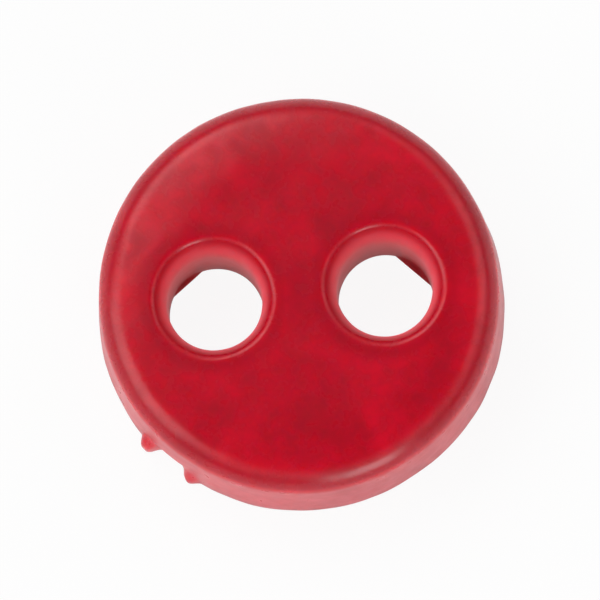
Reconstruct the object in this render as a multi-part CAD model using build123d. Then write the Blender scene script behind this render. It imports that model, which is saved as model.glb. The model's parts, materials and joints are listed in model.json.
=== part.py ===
from build123d import *

import math
import os

# Two-hole sewing button, one moulded piece of dyed plastic, lying on its back with its front up.
# Millimetres. The origin is on the back face, midway between the thread holes.
# +X runs along the line of the two holes and +Z points out of the front.

# Body of the button
DIAMETER = 6.0            # across the back edge, the widest place
THICKNESS = 1.7           # back face to the crown of the front
SIDE_DRAFT = 3.0          # degrees that the side wall leans in towards the front, to leave the mould
SHOULDER_RADIUS = 0.38    # rounding between the side wall and the front
CROWN_RISE = 0.05         # how far the middle of the front stands above its rim
BACK_BREAK = 0.05         # small chamfer round the back edge

# Thread holes
HOLE_PITCH = 2.5          # between the two hole axes
HOLE_DIAMETER = 1.4       # straight bore, at the back
MOUTH_DIAMETER = 1.76     # where the flared mouth reaches the front
FLARE_DEPTH = 0.6         # height of the flare, from the top of the bore to the crown
MOUTH_ROUNDING = 0.06     # rounding of the mouth's edge

# Mark where the button was torn from the mould's gate: two nibs with a scooped notch between them
GATE_ANGLE = 225.0        # where it lies round the rim, degrees from +X
GATE_HEIGHT = 0.5         # from the back face up
GATE_ROOT_WIDTH = 1.1     # across both nibs, at the rim
GATE_TIP_WIDTH = 0.9      # across both nibs, at their tips
NIB_REACH = 0.12          # how far the nibs stand out of the rim
NOTCH_WIDTH = 0.66        # between the tips of the nibs
NOTCH_DEPTH = 0.12        # how far the notch bites into the rim

CUT_OVERRUN = 1.0         # how far a cutter runs past the faces that it cuts

RADIUS = DIAMETER / 2
BORE_RADIUS = HOLE_DIAMETER / 2
MOUTH_RADIUS = MOUTH_DIAMETER / 2
BORE_LENGTH = THICKNESS - FLARE_DEPTH
RIM_HEIGHT = THICKNESS - CROWN_RISE
RIM_RADIUS = RADIUS - RIM_HEIGHT * math.tan(math.radians(SIDE_DRAFT))


def arc_radius(chord, rise):
    """Radius of the arc that stands a given rise above its chord."""
    return ((chord / 2) ** 2 + rise**2) / (2 * rise)


def crown_point(distance):
    """Point of the crown's arc at a distance from the button's axis."""
    crown_radius = arc_radius(2 * RIM_RADIUS, CROWN_RISE)
    drop = crown_radius - math.sqrt(crown_radius**2 - distance**2)
    return (distance, THICKNESS - drop)


def body_profile():
    """Half section of the solid button: flat back, drafted side, rounded shoulder, low crown."""
    with BuildSketch(Plane.YZ) as profile:
        with BuildLine():
            Polyline((0, THICKNESS), (0, 0), (RADIUS, 0), (RIM_RADIUS, RIM_HEIGHT))
            ThreePointArc((RIM_RADIUS, RIM_HEIGHT), crown_point(RIM_RADIUS / 2), (0, THICKNESS))
        make_face()
        # The two outermost corners are the shoulder and, furthest out, the back edge.
        fillet(profile.vertices().sort_by(Axis.X)[-2], SHOULDER_RADIUS)
        chamfer(profile.vertices().sort_by(Axis.X)[-1], BACK_BREAK)
    return profile.sketch


def thread_hole(side):
    """Cutter for one thread hole: a straight bore that flares in an arc to the front."""
    # The flare leaves the bore without a corner, so its arc is half of one with twice the chord.
    flare_radius = arc_radius(2 * FLARE_DEPTH, MOUTH_RADIUS - BORE_RADIUS)
    halfway = FLARE_DEPTH / 2
    bulge = flare_radius - math.sqrt(flare_radius**2 - halfway**2)
    top = THICKNESS + CUT_OVERRUN
    with BuildPart() as hole:
        with BuildSketch(Plane.XZ):
            with BuildLine():
                Polyline((0, top), (0, -CUT_OVERRUN), (BORE_RADIUS, -CUT_OVERRUN), (BORE_RADIUS, BORE_LENGTH))
                ThreePointArc(
                    (BORE_RADIUS, BORE_LENGTH),
                    (BORE_RADIUS + bulge, BORE_LENGTH + halfway),
                    (MOUTH_RADIUS, THICKNESS),
                )
                Polyline((MOUTH_RADIUS, THICKNESS), (MOUTH_RADIUS, top), (0, top))
            make_face()
        revolve(axis=Axis.Z)
    return hole.part.moved(Location((side * HOLE_PITCH / 2, 0, 0)))


def gate_tab():
    """Tapered tab across the rim that the two nibs are left of. It starts inside the rim."""
    root = RADIUS - NIB_REACH
    tip = RADIUS + NIB_REACH
    with BuildPart() as tab:
        with BuildSketch():
            with BuildLine():
                Polyline(
                    (root, -GATE_ROOT_WIDTH / 2),
                    (tip, -GATE_TIP_WIDTH / 2),
                    (tip, GATE_TIP_WIDTH / 2),
                    (root, GATE_ROOT_WIDTH / 2),
                    close=True,
                )
            make_face()
        extrude(amount=GATE_HEIGHT)
    return tab.part.rotate(Axis.Z, GATE_ANGLE)


def gate_notch():
    """Cutter for the scooped notch between the nibs: an upright cylinder as high as the gate."""
    scoop_radius = arc_radius(NOTCH_WIDTH, NOTCH_DEPTH + NIB_REACH)
    centre = RADIUS - NOTCH_DEPTH + scoop_radius
    with BuildPart() as notch:
        with BuildSketch(Plane.XY.offset(-CUT_OVERRUN)):
            with Locations((centre, 0)):
                Circle(scoop_radius)
        extrude(amount=CUT_OVERRUN + GATE_HEIGHT)
    return notch.part.rotate(Axis.Z, GATE_ANGLE)


def button():
    """The whole button."""
    body = revolve(body_profile(), Axis.Z) + gate_tab()
    body -= gate_notch()
    for side in (-1, 1):
        body -= thread_hole(side)
    # A mouth is the one closed edge of each hole that lies above the bore.
    mouths = body.edges().filter_by(lambda edge: edge.is_closed and edge.length < math.pi * RADIUS)
    mouths = mouths.filter_by(lambda edge: edge.center().Z > (BORE_LENGTH + THICKNESS) / 2)
    return fillet(mouths, MOUTH_ROUNDING)


os.makedirs("parts", exist_ok=True)
export_step(button(), "parts/button.step")
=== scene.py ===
"""Dressed model of a small two-hole sewing button, moulded in one piece of crimson plastic.

The button lies on its back on a pale table and is seen from nearly straight above. Shapes are worked out in
millimetres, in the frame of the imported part, and put into Blender in metres.
"""

from __future__ import annotations

import json
import logging
import math
from dataclasses import dataclass, field
from enum import Enum
from typing import Any, Callable, Mapping, Sequence, Union

import bmesh
import bpy
import numpy as np
from mathutils import Matrix, Vector


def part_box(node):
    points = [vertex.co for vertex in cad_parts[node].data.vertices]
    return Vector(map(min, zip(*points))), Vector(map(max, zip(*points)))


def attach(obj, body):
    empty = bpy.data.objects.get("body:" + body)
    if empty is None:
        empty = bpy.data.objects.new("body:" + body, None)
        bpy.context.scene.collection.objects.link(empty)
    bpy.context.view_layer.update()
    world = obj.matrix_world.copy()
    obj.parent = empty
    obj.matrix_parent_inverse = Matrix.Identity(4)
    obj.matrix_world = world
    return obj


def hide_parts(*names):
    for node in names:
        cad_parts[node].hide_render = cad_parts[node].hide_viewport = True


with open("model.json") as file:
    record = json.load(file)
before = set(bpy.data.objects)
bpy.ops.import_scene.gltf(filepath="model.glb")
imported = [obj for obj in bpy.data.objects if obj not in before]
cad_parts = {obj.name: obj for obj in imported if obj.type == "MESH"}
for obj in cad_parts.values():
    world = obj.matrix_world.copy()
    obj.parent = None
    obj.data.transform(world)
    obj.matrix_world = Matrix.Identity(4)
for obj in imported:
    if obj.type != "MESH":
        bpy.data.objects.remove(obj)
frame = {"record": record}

LOG = logging.getLogger("button")
MM = 0.001
TINY = 1e-6
Colour = tuple[float, float, float, float]
Tint = Union[Colour, bpy.types.NodeSocket]
Input = Union["Signal", float, Sequence[float]]
Heights = Callable[[np.ndarray, np.ndarray], np.ndarray]
WHITE: Colour = (1.0, 1.0, 1.0, 1.0)


class Signal:
    """A number that varies over a surface: an output socket whose Python operators add Math nodes."""

    def __init__(self, sheet: NodeSheet, socket: bpy.types.NodeSocket) -> None:
        """Wraps a socket of a sheet."""
        self.sheet = sheet
        self.socket = socket

    def math(self, operation: str, *values: Input, clamp: bool = False) -> Signal:
        """Adds a Math node.

        Args:
            operation: Blender's name of the operation.
            values: the operands, in order.
            clamp: whether the result is held between 0 and 1.

        Returns:
            The result.
        """
        settings = {"operation": operation, "use_clamp": clamp}
        made = self.sheet.node("ShaderNodeMath", settings, dict(enumerate(values)))
        return Signal(self.sheet, made.outputs[0])

    def __add__(self, other: Input) -> Signal:
        """Sum."""
        return self.math("ADD", self, other)

    __radd__ = __add__

    def __sub__(self, other: Input) -> Signal:
        """Difference."""
        return self.math("SUBTRACT", self, other)

    def __rsub__(self, other: Input) -> Signal:
        """Difference, taken from a plain number."""
        return self.math("SUBTRACT", other, self)

    def __mul__(self, other: Input) -> Signal:
        """Product."""
        return self.math("MULTIPLY", self, other)

    __rmul__ = __mul__

    def clamped(self) -> Signal:
        """The same number held between 0 and 1."""
        return self.math("ADD", self, 0.0, clamp=True)

    def highest(self, other: Input) -> Signal:
        """The larger of two numbers."""
        return self.math("MAXIMUM", self, other)


class NodeSheet:
    """The nodes of one material or world."""

    def __init__(self, owner: bpy.types.Material | bpy.types.World) -> None:
        """Turns on the nodes of a material or world and empties them."""
        owner.use_nodes = True
        self.tree = owner.node_tree
        self.tree.nodes.clear()

    def node(
        self,
        kind: str,
        settings: Mapping[str, Any] | None = None,
        inputs: Mapping[str | int, Input | bpy.types.NodeSocket] | None = None,
    ) -> bpy.types.Node:
        """Adds any node.

        Args:
            kind: the node's type.
            settings: its properties, set before its sockets. "stops" holds a ramp's places and colours.
            inputs: values or links of its sockets, by name or number.

        Returns:
            The node.
        """
        made = self.tree.nodes.new(kind)
        for name, value in (settings or {}).items():
            if name == "stops":
                self.set_stops(made.color_ramp, value)
            else:
                setattr(made, name, value)
        for name, value in (inputs or {}).items():
            source = value.socket if isinstance(value, Signal) else value
            if isinstance(source, bpy.types.NodeSocket):
                self.tree.links.new(source, made.inputs[name])
            else:
                made.inputs[name].default_value = source
        return made

    @staticmethod
    def set_stops(ramp: bpy.types.ColorRamp, stops: Sequence[tuple[float, Colour]]) -> None:
        """Gives a new colour ramp its stops.

        Args:
            ramp: the ramp.
            stops: pairs of place and colour, by rising place.
        """
        while len(ramp.elements) < len(stops):
            ramp.elements.new(1.0)
        for element, (place, colour) in zip(ramp.elements, stops):
            element.position = place
            element.color = colour

    def attribute(self, name: str) -> Signal:
        """A number that the mesh keeps for each of its points."""
        return Signal(self, self.node("ShaderNodeAttribute", {"attribute_name": name}).outputs["Fac"])

    def mixed(self, share: Input, first: Tint, second: Tint) -> bpy.types.NodeSocket:
        """Mixes two colours.

        Args:
            share: how much of the second colour is in the mixture.
            first: the first colour or its socket.
            second: the second colour or its socket.

        Returns:
            The mixture's socket.
        """
        made = self.node("ShaderNodeMix", {"data_type": "RGBA"}, {0: share, 6: first, 7: second})
        return made.outputs[2]


def put_in_scene(name: str, data: bpy.types.ID) -> bpy.types.Object:
    """Makes an object of a mesh, lamp or camera and links it to the scene.

    Args:
        name: the object's name.
        data: the mesh, lamp or camera.

    Returns:
        The object, at the origin.
    """
    made = bpy.data.objects.new(name, data)
    bpy.context.scene.collection.objects.link(made)
    return made


def direction(azimuth: float, elevation: float) -> Vector:
    """Unit vector towards a place round the button.

    Args:
        azimuth: degrees from -Y towards +X.
        elevation: degrees above the table.

    Returns:
        The vector (sin a cos e, -cos a cos e, sin e).
    """
    turn, rise = math.radians(azimuth), math.radians(elevation)
    return Vector((math.sin(turn) * math.cos(rise), -math.cos(turn) * math.cos(rise), math.sin(rise)))


def bell(distance: np.ndarray, width: float) -> np.ndarray:
    """Bell curve exp(-(distance / width)^2), which is 1 at no distance."""
    return np.exp(-((distance / width) ** 2))


@dataclass(frozen=True)
class Fade:
    """Smooth change from 0 at one value to 1 at another, either of which may be the higher."""

    none: float
    full: float

    def at(self, value: np.ndarray) -> np.ndarray:
        """Share 3t^2 - 2t^3, where t runs from 0 to 1 between the two values and stays there beyond them."""
        share = np.clip((value - self.none) / (self.full - self.none), 0.0, 1.0)
        return share * share * (3.0 - 2.0 * share)


@dataclass(frozen=True)
class Waves:
    """Smooth unevenness: a sum of plane waves whose directions and phases come from a seed."""

    seed: int
    longest: float
    shortest: float
    count: int = 28

    def at(self, points: np.ndarray) -> np.ndarray:
        """Unevenness at points, about 1 in size.

        The field is the sum of sin(wave vector . point + phase) over the waves. Each wave's strength grows
        with the square root of its length, and the sum is divided by the strengths' root mean square.

        Args:
            points: places in millimetres, one row each.

        Returns:
            One number for each point.
        """
        random = np.random.default_rng(self.seed)
        lengths = np.geomspace(self.longest, self.shortest, self.count)
        directions = random.normal(size=(self.count, points.shape[1]))
        directions /= np.linalg.norm(directions, axis=1, keepdims=True)
        phases = random.uniform(0.0, math.tau, self.count)
        strengths = np.sqrt(lengths)
        waves = np.sin(points @ (directions * (math.tau / lengths)[:, None]).T + phases)
        return waves @ strengths / np.sqrt((strengths**2).sum() / 2)


@dataclass(frozen=True)
class Spacing:
    """Steps of a grid that are shorter near one place."""

    steps: int
    crowding: float
    width: float
    samples: int

    def places(self, first: float, last: float, centre: float) -> np.ndarray:
        """Divides a stretch.

        The density 1 + crowding x bell curve of the distance from the centre is summed along the stretch, the
        total is divided into even steps, and the place of each step is read back.

        Args:
            first: where the stretch begins.
            last: where it ends.
            centre: where the steps are shortest.

        Returns:
            Places from the first to the last, one more than there are steps.
        """
        fine = np.linspace(first, last, self.samples)
        density = 1.0 + self.crowding * bell(fine - centre, self.width)
        parts = 0.5 * (density[1:] + density[:-1]) * np.diff(fine)
        total = np.concatenate([[0.0], np.cumsum(parts)])
        return np.interp(np.linspace(0.0, total[-1], self.steps + 1), total, fine)


def rounded_corner(
    before: Sequence[float],
    corner: Sequence[float],
    after: Sequence[float],
    radius: float,
    steps: int,
) -> np.ndarray:
    """Arc that rounds the corner of a profile.

    The arc's centre lies on the corner's bisector, at radius / sin(half angle) from the corner, and the arc
    runs between the points where it touches the two sides.

    Args:
        before: any point on the side that leads to the corner.
        corner: the corner.
        after: any point on the side that leaves it.
        radius: the arc's radius.
        steps: how many chords the arc has.

    Returns:
        steps + 1 points of the arc.
    """
    corner_point = np.array(corner, float)
    back = np.array(before, float) - corner_point
    ahead = np.array(after, float) - corner_point
    back /= np.linalg.norm(back)
    ahead /= np.linalg.norm(ahead)
    half = 0.5 * math.acos(float(back @ ahead))
    middle = (back + ahead) / np.linalg.norm(back + ahead)
    centre = corner_point + middle * radius / math.sin(half)
    first = corner_point + back * radius / math.tan(half) - centre
    last = corner_point + ahead * radius / math.tan(half) - centre
    turn = math.pi - 2.0 * half
    share = np.linspace(0.0, 1.0, steps + 1)[:, None]
    arc = (np.sin((1.0 - share) * turn) * first + np.sin(share * turn) * last) / math.sin(turn)
    return centre + arc


class Side(Enum):
    """The two halves of the button, each with one thread hole."""

    LEFT = -1
    RIGHT = 1


@dataclass(frozen=True)
class Nib:
    """One of the two stubs of plastic that stand out of the rim beside the gate's notch."""

    place: float
    reach: float
    flank: Fade
    slope: Fade

    def offset(self, arc: np.ndarray, height: np.ndarray) -> np.ndarray:
        """How far the nib stands out of the rim.

        It is the reach times a bump of the distance along the rim, which fades over the nib's flanks, times
        a slope that leans the nib back to the rim with height.

        Args:
            arc: distance along the rim from the gate's middle.
            height: height above the back.

        Returns:
            The outward offset, all in millimetres.
        """
        return self.reach * self.flank.at(np.abs(arc - self.place)) * self.slope.at(height)


@dataclass(frozen=True)
class GateMark:
    """Where the button was torn from the mould's gate: two nibs with a scooped notch between them."""

    angle: float = math.radians(225.0)
    height: float = 0.5
    notch_depth: float = 0.12
    notch_width: float = 0.58
    ledge: float = 0.05
    blunt_nib: Nib = Nib(
        place=-0.40,
        reach=0.12,
        flank=Fade(none=0.19, full=0.0418),
        slope=Fade(none=0.5, full=0.2),
    )
    pointed_nib: Nib = Nib(
        place=0.40,
        reach=0.096,
        flank=Fade(none=0.19, full=0.0),
        slope=Fade(none=0.43, full=0.1),
    )

    def offset(self, arc: np.ndarray, height: np.ndarray) -> np.ndarray:
        """How far the rim moves outwards.

        The nibs add their offsets. The notch between them takes away a parabola of the distance along the
        rim, which ends in a short step at the gate's height.

        Args:
            arc: distance along the rim from the gate's middle.
            height: height above the back.

        Returns:
            The outward offset, all in millimetres.
        """
        nibs = self.blunt_nib.offset(arc, height) + self.pointed_nib.offset(arc, height)
        notch = np.clip(1.0 - (2.0 * arc / self.notch_width) ** 2, 0.0, 1.0)
        step = Fade(self.height + self.ledge, self.height - self.ledge)
        return nibs - self.notch_depth * notch * step.at(height)


@dataclass(frozen=True)
class Flash:
    """A thread-thin film of plastic that closes a sliver of a thread hole at the back."""

    direction: float
    chord: float

    def reach(self, around: np.ndarray, radius: float) -> np.ndarray:
        """How far the film stands into the hole.

        The film's edge is a chord, at distance chord / cos(angle from the film's direction) from the hole's
        axis, and the film is what lies between it and the hole's circle.

        Args:
            around: angles round the hole.
            radius: the hole's radius.

        Returns:
            The film's width at each angle, zero outside the chord.
        """
        edge = self.chord / np.maximum(np.cos(around - self.direction), TINY)
        return np.clip(radius - edge, 0.0, None)


@dataclass
class ThreadHole:
    """One thread hole: a rounded back edge, a straight bore, a flare and a rounded mouth."""

    centre: float
    bore: float
    bore_length: float
    thickness: float
    mouth: float = 0.88
    back_rounding: float = 0.035
    mouth_rounding: float = 0.11
    flashes: Sequence[Flash] = ()
    film_thickness: float = 0.05
    film_slope: float = 0.035
    back_steps: int = 4
    wall_steps: int = 14
    wall_crowding: float = 1.7
    flare_steps: int = 11
    lip_steps: int = 8

    def profile(self) -> np.ndarray:
        """Meridian of the hole, from the back face to the front.

        The bore's rows crowd towards the back, by a power of their number. The flare is an arc that leaves
        the bore without a corner, at radius bore + R - sqrt(R^2 - h^2), where h is the height above the bore.

        Returns:
            Rows of radius and height.
        """
        flare = self.thickness - self.bore_length
        widening = self.mouth - self.bore
        swing = (flare**2 + widening**2) / (2.0 * widening)
        back = rounded_corner(
            (self.bore + 1.0, 0.0), (self.bore, 0.0), (self.bore, 1.0), self.back_rounding, self.back_steps
        )
        share = np.linspace(0.0, 1.0, self.wall_steps + 1)[1:] ** self.wall_crowding
        wall_height = self.back_rounding + (self.bore_length - self.back_rounding) * share
        wall = np.stack([np.full_like(wall_height, self.bore), wall_height], axis=1)
        lean = math.asin(flare / swing)
        lip = rounded_corner(
            (self.mouth - math.sin(lean), self.thickness - math.cos(lean)),
            (self.mouth, self.thickness),
            (self.mouth + 1.0, self.thickness),
            self.mouth_rounding,
            self.lip_steps,
        )
        above = np.linspace(0.0, lip[0, 1] - self.bore_length, self.flare_steps + 1)[1:-1]
        flared = self.bore + swing - np.sqrt(swing**2 - above**2)
        arc = np.stack([flared, self.bore_length + above], axis=1)
        return np.concatenate([back, wall, arc, lip])

    def wall(self, around: np.ndarray, front_height: Heights) -> np.ndarray:
        """Surface of the hole.

        Each row of the profile is a circle round the hole's axis. Flash films narrow the lowest rows, and the
        rows of the flare are stretched so that the mouth meets the crowned front.

        Args:
            around: angles round the hole, one for each column.
            front_height: gives the height of the front from x and y.

        Returns:
            Points by row, column and coordinate, before the half is mirrored.
        """
        profile = self.profile()
        radius = np.repeat(profile[:, :1], len(around), axis=1)
        height = np.repeat(profile[:, 1:], len(around), axis=1)
        film = sum((flash.reach(around, self.bore) for flash in self.flashes), np.zeros_like(around))
        radius -= film * Fade(self.film_thickness + self.film_slope, self.film_thickness).at(height)
        x = self.centre + radius * np.cos(around)
        y = radius * np.sin(around)
        above = np.clip((height - self.bore_length) / (self.thickness - self.bore_length), 0.0, None)
        rim = front_height(x[-1], y[-1]) - self.thickness
        return np.stack([x, y, height + rim * above], axis=2)


@dataclass(frozen=True)
class Spots:
    """Points of the button's surface, as the weld line, the painted glow and the painted shade read them.

    Across and along are x and y in millimetres. The thickness share is the height over the thickness,
    upright is the z of the unit normal, and from_bore is the distance in millimetres from the wall of the
    nearer bore.
    """

    across: np.ndarray
    along: np.ndarray
    thickness_share: np.ndarray
    upright: np.ndarray
    from_bore: np.ndarray


@dataclass(frozen=True)
class Ripple:
    """A sine of the distance along a line."""

    size: float
    rate: float
    phase: float

    def at(self, along: np.ndarray) -> np.ndarray:
        """Size x sin(rate x distance + phase)."""
        return self.size * np.sin(self.rate * along + self.phase)


@dataclass(frozen=True)
class WeldLine:
    """Shallow groove on the back, where the melt met itself between the thread holes."""

    depth: float = 0.010
    width: float = 0.045
    strength: float = 0.62
    wander: Ripple = Ripple(size=0.10, rate=1.7, phase=0.6)
    jitter: Ripple = Ripple(size=0.05, rate=4.3, phase=2.0)
    swell: Ripple = Ripple(size=0.38, rate=2.9, phase=1.1)
    facing_down: Fade = Fade(none=0.5, full=0.9)

    def at(self, spots: Spots) -> np.ndarray:
        """Strength of the line.

        The line's place wanders from the middle by two ripples along the button, its strength is a bell curve
        of the distance from that place, and it swells and fades along its length. It is on the back alone.

        Args:
            spots: points of the surface.

        Returns:
            A number from 0 to 1 for each point.
        """
        place = self.wander.at(spots.along) + self.jitter.at(spots.along)
        line = bell(spots.across - place, self.width) * (self.strength + self.swell.at(spots.along))
        return line * self.facing_down.at(-spots.upright)


@dataclass(frozen=True)
class PaintedGlow:
    """Painted glow: where a pale colour is painted for light from the table coming through the plastic, in
    full in the thread holes and partly on the side wall.
    """

    near_bore: Fade = Fade(none=0.19, full=0.06)
    below_mouth: Fade = Fade(none=1.05, full=0.80)
    side_share: float = 0.20
    side_distance: float = 0.3
    steep: Fade = Fade(none=0.75, full=0.25)
    below_shoulder: Fade = Fade(none=1.0, full=0.5)

    def at(self, spots: Spots) -> np.ndarray:
        """Share of the painted glow.

        In a hole it fades with the distance from the bore's wall and towards the mouth. On the side wall it
        fades with the lean of the surface and towards the shoulder.

        Args:
            spots: points of the surface.

        Returns:
            A number from 0 to 1 for each point.
        """
        hole = self.near_bore.at(spots.from_bore) * self.below_mouth.at(spots.thickness_share)
        side = self.steep.at(np.abs(spots.upright)) * self.below_shoulder.at(spots.thickness_share)
        side *= self.side_share * (spots.from_bore > self.side_distance)
        return np.maximum(hole, side)


@dataclass(frozen=True)
class PaintedShade:
    """Painted shade: where the colour is darkened for shade, in a soft ring round each mouth, between the
    holes and on the shoulder.
    """

    ring_share: float = 0.55
    ring_distance: float = 0.30
    ring_width: float = 0.12
    bridge_share: float = 0.6
    bridge_across: float = 0.30
    bridge_along: float = 0.55
    shoulder_share: float = 0.68
    shoulder_begins: Fade = Fade(none=0.97, full=0.75)
    shoulder_ends: Fade = Fade(none=0.0, full=0.35)
    lowest: float = 0.8

    def at(self, spots: Spots) -> np.ndarray:
        """Strength of the painted shade.

        The ring and the bridge between the holes are bell curves of place, and the shoulder is where the
        normal leans. The deepest of the three counts, near the front alone.

        Args:
            spots: points of the surface.

        Returns:
            A number from 0 to 1 for each point.
        """
        ring = self.ring_share * bell(spots.from_bore - self.ring_distance, self.ring_width)
        bridge = bell(spots.across, self.bridge_across) * bell(spots.along, self.bridge_along)
        shoulder = self.shoulder_begins.at(spots.upright) * self.shoulder_ends.at(spots.upright)
        deepest = np.maximum.reduce([ring, self.bridge_share * bridge, self.shoulder_share * shoulder])
        return deepest * (spots.thickness_share > self.lowest)


@dataclass
class ButtonBody:
    """The whole moulded button, as one closed surface."""

    diameter: float
    thickness: float
    pitch: float
    bore: float
    bore_length: float
    draft: float = math.radians(3.0)
    crown_rise: float = 0.05
    roll_off: float = 0.08
    roll_start: float = 1.85
    shoulder_rounding: float = 0.38
    back_rounding: float = 0.05
    gate: GateMark = field(default_factory=GateMark)
    left_flash: Flash = Flash(direction=math.radians(128.0), chord=0.64)
    right_flash: Flash = Flash(direction=math.radians(45.0), chord=0.61)
    weld_line: WeldLine = field(default_factory=WeldLine)
    glow_painting: PaintedGlow = field(default_factory=PaintedGlow)
    painted_shade: PaintedShade = field(default_factory=PaintedShade)
    columns: Spacing = Spacing(steps=212, crowding=2.6, width=0.2, samples=2000)
    rows: Spacing = Spacing(steps=26, crowding=4.0, width=0.09, samples=200)
    line_steps: int = 96
    sheet_steps: int = 24
    shoulder_steps: int = 14
    foot_steps: int = 5
    wobble: Waves = Waves(seed=11, longest=4.0, shortest=0.5, count=14)
    wobble_size: float = 0.007
    wobble_of_front: float = 0.35
    wobble_low_down: Fade = Fade(none=0.9, full=0.0)
    flow: Waves = Waves(seed=23, longest=2.2, shortest=0.45)
    flow_size: float = 0.0016
    grain: Waves = Waves(seed=37, longest=0.5, shortest=0.22)
    grain_size: float = 0.0005
    merge_distance: float = 1e-4

    @property
    def radius(self) -> float:
        """Radius at the back edge."""
        return self.diameter / 2.0

    @property
    def hole_place(self) -> float:
        """Distance of each thread hole from the middle."""
        return self.pitch / 2.0

    @property
    def rim(self) -> tuple[float, float]:
        """Radius and height of the corner between side and front, before it is rounded."""
        height = self.thickness - self.crown_rise
        return self.radius - height * math.tan(self.draft), height

    def front_height(self, x: np.ndarray, y: np.ndarray) -> np.ndarray:
        """Height of the front.

        It is the thickness less the crown's drop, R - sqrt(R^2 - x^2 - y^2), and less the roll-off.

        Args:
            x: distance towards the right hole.
            y: distance along the line between the halves.

        Returns:
            The height above the back.
        """
        rim_radius = self.rim[0]
        crown = (rim_radius**2 + self.crown_rise**2) / (2.0 * self.crown_rise)
        drop = crown - np.sqrt(crown**2 - x**2 - y**2)
        return self.thickness - drop - self.rolled(np.hypot(x, y))

    def rolled(self, from_centre: np.ndarray) -> np.ndarray:
        """How far the front rolls off below its crown: by the square of the distance past the start."""
        share = (from_centre - self.roll_start) / (self.rim[0] - self.roll_start)
        return self.roll_off * np.clip(share, 0.0, None) ** 2

    def outline(self, polar: np.ndarray, height: np.ndarray) -> np.ndarray:
        """Outward offset of the rim: the gate's mark and an unevenness that fades from the back up.

        Args:
            polar: angle round the button.
            height: height above the back.

        Returns:
            The offset in millimetres.
        """
        turn = (polar - self.gate.angle + math.pi) % math.tau - math.pi
        circle = np.stack([np.cos(polar), np.sin(polar)], axis=-1) * self.radius
        uneven = self.wobble_size * self.wobble.at(circle.reshape(-1, 2)).reshape(polar.shape)
        share = self.wobble_of_front + (1.0 - self.wobble_of_front) * self.wobble_low_down.at(height)
        return self.gate.offset(turn * self.radius, height) + uneven * share

    def side_profile(self) -> np.ndarray:
        """Meridian of the rim, from the front's edge round the shoulder and down the side to the back.

        The shoulder and the foot are arcs, and the shoulder sinks with the front's roll-off along the side's
        draft. The rows of the wall between them crowd at the gate's height.

        Returns:
            Rows of radius and height.
        """
        rim_radius, rim_height = self.rim
        foot_corner = (self.radius, 0.0)
        slope = self.crown_rise * 2.0 / rim_radius
        shoulder = rounded_corner(
            (rim_radius - 1.0, rim_height + slope),
            (rim_radius, rim_height),
            foot_corner,
            self.shoulder_rounding,
            self.shoulder_steps,
        )
        shoulder += self.rolled(shoulder[:, :1]) * np.array([math.tan(self.draft), -1.0])
        foot = rounded_corner(
            (rim_radius, rim_height),
            foot_corner,
            (self.radius - 1.0, 0.0),
            self.back_rounding,
            self.foot_steps,
        )
        heights = self.rows.places(foot[0, 1], shoulder[-1, 1], self.gate.height)[-2:0:-1]
        wall = np.stack([self.radius - heights * math.tan(self.draft), heights], axis=1)
        return np.concatenate([shoulder, wall, foot])

    def rim_grid(self, side: Side) -> np.ndarray:
        """Rim of one half, with its columns crowded where the gate's mark lies on the left half.

        Each row of the side's profile is a half circle, moved outwards by the outline's offset, and the first
        row lies on the front.

        Args:
            side: which half.

        Returns:
            Points by row, column and coordinate, before the half is mirrored.
        """
        gate = math.remainder(math.pi - self.gate.angle, math.tau)
        angles = self.columns.places(-math.pi / 2.0, math.pi / 2.0, gate)
        polar = angles if side is Side.RIGHT else math.pi - angles
        profile = self.side_profile()
        height = np.repeat(profile[:, 1:], len(angles), axis=1)
        radius = profile[:, :1] + self.outline(np.broadcast_to(polar, height.shape), height)
        rim = np.stack([radius * np.cos(angles), radius * np.sin(angles), height], axis=2)
        rim[:, (0, -1), 0] = 0.0
        rim[0, :, 2] = self.front_height(rim[0, :, 0], rim[0, :, 1])
        return rim

    def loop(self, arc: np.ndarray) -> np.ndarray:
        """Closes an arc of the rim with the straight line that divides the halves.

        Args:
            arc: points from one end of the half to the other.

        Returns:
            Points of the whole loop, the first one not repeated.
        """
        share = np.linspace(0.0, 1.0, self.line_steps + 1)[1:-1, None]
        return np.concatenate([arc, arc[-1] + (arc[0] - arc[-1]) * share])

    def half(self, side: Side) -> list[np.ndarray]:
        """Surfaces of one half: rim, front, back and thread hole.

        The front and the back are sheets of straight lines from the hole's edge to the half disc's loop, and
        the front is then lifted to its crown. All are worked out on the side where x is positive, and the
        left half is mirrored.

        Args:
            side: which half.

        Returns:
            Grids of points, by row, column and coordinate.
        """
        rim = self.rim_grid(side)
        middle = self.loop(0.5 * (rim[0] + rim[-1]))
        around = np.unwrap(np.arctan2(middle[:, 1], middle[:, 0] - self.hole_place))
        wall = self.thread_hole(side).wall(around, self.front_height)
        spread = np.linspace(0.0, 1.0, self.sheet_steps + 1)[:, None, None]
        front = wall[-1] + (self.loop(rim[0]) - wall[-1]) * spread
        lifted = front[1:]
        lifted[:, :, 2] = self.front_height(lifted[:, :, 0], lifted[:, :, 1])
        back = wall[0] + (self.loop(rim[-1]) - wall[0]) * spread
        grids = [rim] + [np.concatenate([grid, grid[:, :1]], axis=1) for grid in (front, back, wall)]
        for grid in grids:
            grid[:, :, 0] *= side.value
        return grids

    def thread_hole(self, side: Side) -> ThreadHole:
        """The thread hole of one half, as it is before the half is mirrored.

        Args:
            side: which half.

        Returns:
            The hole with its flash, which on the left half is turned so that mirroring puts it right.
        """
        flash = self.right_flash
        if side is Side.LEFT:
            flash = Flash(math.pi - self.left_flash.direction, self.left_flash.chord)
        return ThreadHole(self.hole_place, self.bore, self.bore_length, self.thickness, flashes=(flash,))

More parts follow.
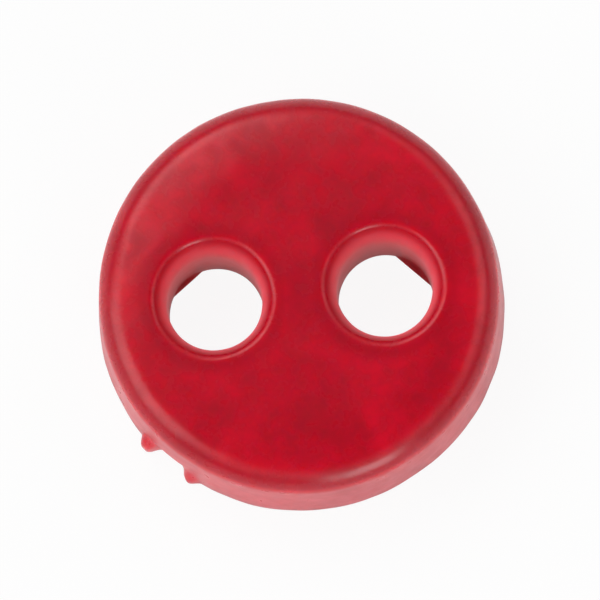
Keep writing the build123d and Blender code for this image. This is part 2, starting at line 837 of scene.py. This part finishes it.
    def build(self) -> bpy.types.Object:
        """Joins the halves into one closed mesh and gives it the mould's relief.

        Returns:
            The button's object, at the origin.
        """
        grids = self.half(Side.LEFT) + self.half(Side.RIGHT)
        points, quads, start = [], [], 0
        for grid in grids:
            rows, columns, _ = grid.shape
            index = start + np.arange(rows * columns).reshape(rows, columns)
            corners = (index[:-1, :-1], index[:-1, 1:], index[1:, 1:], index[1:, :-1])
            quads.append(np.stack(corners, axis=-1).reshape(-1, 4))
            points.append(grid.reshape(-1, 3))
            start += rows * columns
        mesh = bpy.data.meshes.new("button_body")
        mesh.from_pydata(np.concatenate(points) * MM, [], np.concatenate(quads))
        self.close(mesh)
        self.add_relief(mesh)
        mesh.shade_smooth()
        return put_in_scene("button_body", mesh)

    def close(self, mesh: bpy.types.Mesh) -> None:
        """Merges the borders that the grids share and turns all faces outwards.

        Args:
            mesh: the grids, side by side.
        """
        work = bmesh.new()
        work.from_mesh(mesh)
        bmesh.ops.remove_doubles(work, verts=work.verts, dist=self.merge_distance * MM)
        bmesh.ops.recalc_face_normals(work, faces=work.faces)
        work.to_mesh(mesh)
        work.free()

    def add_relief(self, mesh: bpy.types.Mesh) -> None:
        """Moves the points of the mesh along their normals and keeps there the weld line and the masks of the
        painted glow and the painted shade.

        The relief is the sum of broad flow marks and a fine grain, less the weld line's groove.

        Args:
            mesh: the closed mesh.
        """
        flat = np.empty(len(mesh.vertices) * 3, np.float32)
        mesh.vertices.foreach_get("co", flat)
        points = flat.reshape(-1, 3).astype(float) / MM
        mesh.vertices.foreach_get("normal", flat)
        normals = flat.reshape(-1, 3).astype(float)
        spots = self.spots(points, normals)
        weld = self.weld_line.at(spots)
        relief = self.flow_size * self.flow.at(points) + self.grain_size * self.grain.at(points)
        relief -= self.weld_line.depth * weld
        moved = (points + normals * relief[:, None]) * MM
        mesh.vertices.foreach_set("co", moved.astype(np.float32).ravel())
        # Kept per point: the weld line, the mask of the painted glow, and the mask of the painted shade,
        # which the material reads as edge.
        kept = {"weld_line": weld, "thinness": self.glow_painting.at(spots), "edge": self.painted_shade.at(spots)}
        for name, values in kept.items():
            attribute = mesh.attributes.new(name, "FLOAT", "POINT")
            attribute.data.foreach_set("value", values.astype(np.float32))
        mesh.update()

    def spots(self, points: np.ndarray, normals: np.ndarray) -> Spots:
        """Describes points of the surface for the weld line and the finish.

        Args:
            points: places in millimetres.
            normals: their unit normals.

        Returns:
            The points as spots.
        """
        across, along, height = points.T
        from_axis = np.hypot(np.abs(across) - self.hole_place, along)
        return Spots(across, along, height / self.thickness, normals[:, 2], from_axis - self.bore)


@dataclass(frozen=True)
class Pattern:
    """Noise with scale features for each millimetre."""

    scale: float
    detail: float
    swirl: float

    def on(self, sheet: NodeSheet, place: bpy.types.NodeSocket) -> Signal:
        """Noise of about 0 to 1, around 0.5, over a place in millimetres."""
        inputs = {"Vector": place, "Scale": self.scale, "Detail": self.detail, "Distortion": self.swirl}
        return Signal(sheet, sheet.node("ShaderNodeTexNoise", None, inputs).outputs[0])


@dataclass(frozen=True)
class DyedPlastic:
    """Finish of the button: crimson dyed plastic with a satin gloss, clouded by the melt's flow, with painted
    shade and a painted glow.
    """

    bright: Colour = (0.670, 0.0050, 0.0270, 1.0)
    deep: Colour = (0.410, 0.0010, 0.0140, 1.0)
    weld: Colour = (0.300, 0.0012, 0.0100, 1.0)
    # Colour of the painted shade at the edges, round the mouths and between the holes.
    edge: Colour = (0.300, 0.0012, 0.0130, 1.0)
    # Pale colour of the painted glow, for light from the table through the plastic.
    painted_glow_colour: Colour = (0.870, 0.0750, 0.1100, 1.0)
    clouds: Pattern = Pattern(scale=0.9, detail=3.0, swirl=0.6)
    mottle: Pattern = Pattern(scale=5.0, detail=4.0, swirl=0.2)
    speckle: Pattern = Pattern(scale=17.0, detail=2.0, swirl=0.0)
    grain: Pattern = Pattern(scale=13.0, detail=2.0, swirl=0.0)
    deep_share: float = 0.44
    cloud_contrast: float = 1.5
    mottle_contrast: float = 0.9
    speckle_contrast: float = 0.35
    weld_share: float = 0.8
    painted_shade_share: float = 0.75
    painted_glow_share: float = 0.9
    roughness: float = 0.27
    mottle_roughness: float = 0.18
    cloud_roughness: float = 0.10
    lit_roughness: float = 0.22
    grain_strength: float = 0.22
    grain_height: float = 0.004
    refraction: float = 1.5
    gloss: float = 0.4
    glow: tuple[float, float, float] = (1.0, 0.08, 0.08)
    glow_depth: float = 0.9

    def material(self) -> bpy.types.Material:
        """Makes the material.

        Clouds, mottling and speckle mix the bright and the deep dye. The weld line deepens it, painted shade
        darkens it at the edges, round the mouths and between the holes, and a painted glow turns it pale in
        the holes and low on the side wall, for light from the table through the plastic. Clouds and mottling
        vary the gloss too, the places of the painted glow are duller, and a fine grain goes into the normal.

        Returns:
            The material.
        """
        made = bpy.data.materials.new("dyed_plastic")
        sheet = NodeSheet(made)
        place = sheet.node("ShaderNodeTexCoord").outputs["Object"]
        scaled = {0: place, "Scale": 1.0 / MM}
        place = sheet.node("ShaderNodeVectorMath", {"operation": "SCALE"}, scaled).outputs[0]
        clouds, mottle, speckle = (
            pattern.on(sheet, place) - 0.5 for pattern in (self.clouds, self.mottle, self.speckle)
        )
        # Mask of the painted glow.
        painted_glow_mask = sheet.attribute("thinness")
        shade = clouds * self.cloud_contrast + mottle * self.mottle_contrast
        shade = (shade + speckle * self.speckle_contrast + self.deep_share).clamped()
        colour = sheet.mixed(shade, self.bright, self.deep)
        colour = sheet.mixed((sheet.attribute("weld_line") * self.weld_share).clamped(), colour, self.weld)
        # Painted shade: darker at the edges, round the mouths and between the holes.
        colour = sheet.mixed((sheet.attribute("edge") * self.painted_shade_share).clamped(), colour, self.edge)
        # Painted glow: paler in the holes and low on the side wall, for light from the table through the
        # plastic.
        colour = sheet.mixed((painted_glow_mask * self.painted_glow_share).clamped(), colour, self.painted_glow_colour)
        rough = self.roughness + mottle * self.mottle_roughness + clouds * self.cloud_roughness
        grain = {
            "Height": self.grain.on(sheet, place),
            "Strength": self.grain_strength,
            "Distance": self.grain_height * MM,
        }
        shader = sheet.node(
            "ShaderNodeBsdfPrincipled",
            {"subsurface_method": "RANDOM_WALK"},
            {
                "Base Color": colour,
                "Roughness": rough + painted_glow_mask * self.lit_roughness,
                "IOR": self.refraction,
                "Specular IOR Level": self.gloss,
                "Normal": sheet.node("ShaderNodeBump", None, grain).outputs[0],
                "Subsurface Weight": 1.0,
                "Subsurface Radius": self.glow,
                "Subsurface Scale": self.glow_depth * MM,
            },
        )
        sheet.node("ShaderNodeOutputMaterial", None, {"Surface": shader.outputs[0]})
        return made


@dataclass
class Tabletop:
    """Pale table that the button lies on. It looks white and keeps a faint shadow."""

    size: float = 1000.0
    gap: float = 0.02
    paper: Colour = (0.88, 0.88, 0.88, 1.0)
    glow_share: float = 0.92
    mirrored_share: float = 0.60

    def build(self) -> bpy.types.Object:
        """Makes the table's square, just under the button's back.

        Returns:
            The table.
        """
        half = self.size / 2.0
        corners = np.array([(-half, -half), (half, -half), (half, half), (-half, half)])
        points = np.column_stack([corners, np.full(len(corners), -self.gap)]) * MM
        mesh = bpy.data.meshes.new("tabletop")
        mesh.from_pydata(points, [], [(0, 1, 2, 3)])
        mesh.materials.append(self.material())
        made = put_in_scene("tabletop", mesh)
        return made

    def material(self) -> bpy.types.Material:
        """Paper that lights the button as paper does, and shows nearly white to the camera.

        A share of plain white is mixed into the paper where the camera sees it, directly or through the
        plastic, and a smaller share where it is mirrored.

        Returns:
            The material.
        """
        made = bpy.data.materials.new("pale_paper")
        sheet = NodeSheet(made)
        path = sheet.node("ShaderNodeLightPath").outputs
        camera = Signal(sheet, path["Is Camera Ray"])
        glossy = Signal(sheet, path["Is Glossy Ray"])
        through = Signal(sheet, path["Is Transmission Ray"])
        seen = (camera.highest(through) * self.glow_share).highest(glossy * self.mirrored_share)
        paper = sheet.node("ShaderNodeBsdfDiffuse", None, {"Color": self.paper}).outputs[0]
        white = sheet.node("ShaderNodeEmission", None, {"Color": WHITE, "Strength": 1.0}).outputs[0]
        mixed = sheet.node("ShaderNodeMixShader", None, {0: seen, 1: paper, 2: white})
        sheet.node("ShaderNodeOutputMaterial", None, {"Surface": mixed.outputs[0]})
        return made


@dataclass(frozen=True)
class Softbox:
    """A square lamp that faces the button, at an azimuth and an elevation in degrees."""

    name: str
    azimuth: float
    elevation: float
    width: float
    share: float
    distance: float = 400.0

    def build(self, all_lamps: float) -> None:
        """Makes the lamp.

        Its power is the one that gives its share of the light that a plain white surround would give: for a
        small lamp, power = light x pi x distance^2 / sin(elevation).

        Args:
            all_lamps: the light of all lamps together, as a share of that of a plain white surround.
        """
        away = direction(self.azimuth, self.elevation)
        distance = self.distance * MM
        light = math.pi * all_lamps * self.share
        data = bpy.data.lights.new(self.name, "AREA")
        data.size = self.width * MM
        data.energy = light * math.pi * distance**2 / math.sin(math.radians(self.elevation))
        made = put_in_scene(self.name, data)
        made.location = away * distance
        made.rotation_euler = away.to_track_quat("Z", "Y").to_euler()


@dataclass
class Studio:
    """Soft studio light: a grey surround with bands from the horizon to overhead, and four soft lamps."""

    bands: Sequence[tuple[float, float]] = (
        (0.0, 0.90),
        (0.03, 0.90),
        (0.08, 0.16),
        (0.30, 0.25),
        (0.45, 0.76),
        (0.66, 0.76),
        (0.82, 0.12),
        (1.0, 0.01),
    )
    lamp_share: float = 0.66
    lamps: Sequence[Softbox] = (
        Softbox("softbox_back", azimuth=-148.0, elevation=50.0, width=260.0, share=0.36),
        Softbox("softbox_left", azimuth=-78.0, elevation=36.0, width=340.0, share=0.42),
        Softbox("softbox_right", azimuth=105.0, elevation=40.0, width=300.0, share=0.10),
        Softbox("softbox_front", azimuth=18.0, elevation=14.0, width=170.0, share=0.12),
    )

    def build(self) -> None:
        """Makes the surround and the lamps.

        The surround's grey is a ramp of the sine of the elevation, and keeps its first value below the
        horizon.
        """
        world = bpy.data.worlds.new("studio")
        bpy.context.scene.world = world
        sheet = NodeSheet(world)
        view = sheet.node("ShaderNodeTexCoord").outputs["Generated"]
        height = sheet.node("ShaderNodeSeparateXYZ", None, {0: view}).outputs["Z"]
        stops = [(place, (grey, grey, grey, 1.0)) for place, grey in self.bands]
        colour = sheet.node("ShaderNodeValToRGB", {"stops": stops}, {0: height}).outputs[0]
        surround = sheet.node("ShaderNodeBackground", None, {"Color": colour, "Strength": 1.0})
        sheet.node("ShaderNodeOutputWorld", None, {"Surface": surround.outputs[0]})
        for lamp in self.lamps:
            lamp.build(self.lamp_share)


@dataclass
class PhotoCamera:
    """Camera at the photograph's angle of view on this button, nearly straight down.

    Its azimuth, its elevation and the rise of the line through the holes are in degrees.
    """

    azimuth: float = 6.3
    elevation: float = 80.4
    hole_line_rise: float = 4.4
    frame_width: float = 8.8
    distance: float = 160.0
    aim_height: float = 0.85
    sensor_width: float = 36.0
    nearest: float = 1.0
    farthest: float = 10000.0

    def build(self) -> bpy.types.Object:
        """Makes the camera and makes it the scene's.

        Its upward direction is turned so that the line of the thread holes rises to the right, and the lens
        is the one that fits the frame's width at the camera's distance.

        Returns:
            The camera.
        """
        back = direction(self.azimuth, self.elevation)
        roll = math.radians(90.0 - self.hole_line_rise)
        upward = Vector((math.cos(roll), math.sin(roll), 0.0))
        upward = (upward - back * upward.dot(back)).normalized()
        right = upward.cross(back)
        data = bpy.data.cameras.new("photo_camera")
        data.sensor_width = self.sensor_width
        data.lens = self.sensor_width * self.distance / self.frame_width
        data.clip_start = self.nearest * MM
        data.clip_end = self.farthest * MM
        made = put_in_scene("photo_camera", data)
        place = (Vector((0.0, 0.0, self.aim_height)) + back * self.distance) * MM
        axes = Matrix((right, upward, back)).transposed()
        made.matrix_world = Matrix.Translation(place) @ axes.to_4x4()
        bpy.context.scene.camera = made
        return made


def button_from_frame() -> ButtonBody:
    """Reads the button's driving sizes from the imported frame.

    Returns:
        The button, with its diameter, thickness and holes as in the frame.
    """
    low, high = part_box("button")
    holes = {mount["name"]: mount for mount in frame["record"]["mounts"] if mount["kind"] == "bore"}
    left, right = holes["thread_hole_left"], holes["thread_hole_right"]
    return ButtonBody(
        diameter=(high.x - low.x) / MM,
        thickness=high.z / MM,
        pitch=(right["pos_m"][0] - left["pos_m"][0]) / MM,
        bore=right["dims"]["r_mm"],
        bore_length=right["dims"]["length_mm"],
    )


def main() -> None:
    """Builds the button, its table, light and camera."""
    bpy.context.scene.view_settings.view_transform = "Standard"
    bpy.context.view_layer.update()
    button = button_from_frame().build()
    button.data.materials.append(DyedPlastic().material())
    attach(button, "root")
    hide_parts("button")
    LOG.info("%s: %d points, %d faces", button.name, len(button.data.vertices), len(button.data.polygons))
    table = Tabletop().build()
    LOG.info("%s: stage", table.name)
    Studio().build()
    camera = PhotoCamera().build()
    LOG.info("%s: lens %.0f mm", camera.name, camera.data.lens)


if __name__ == "__main__":
    logging.basicConfig(level=logging.INFO)
    main()
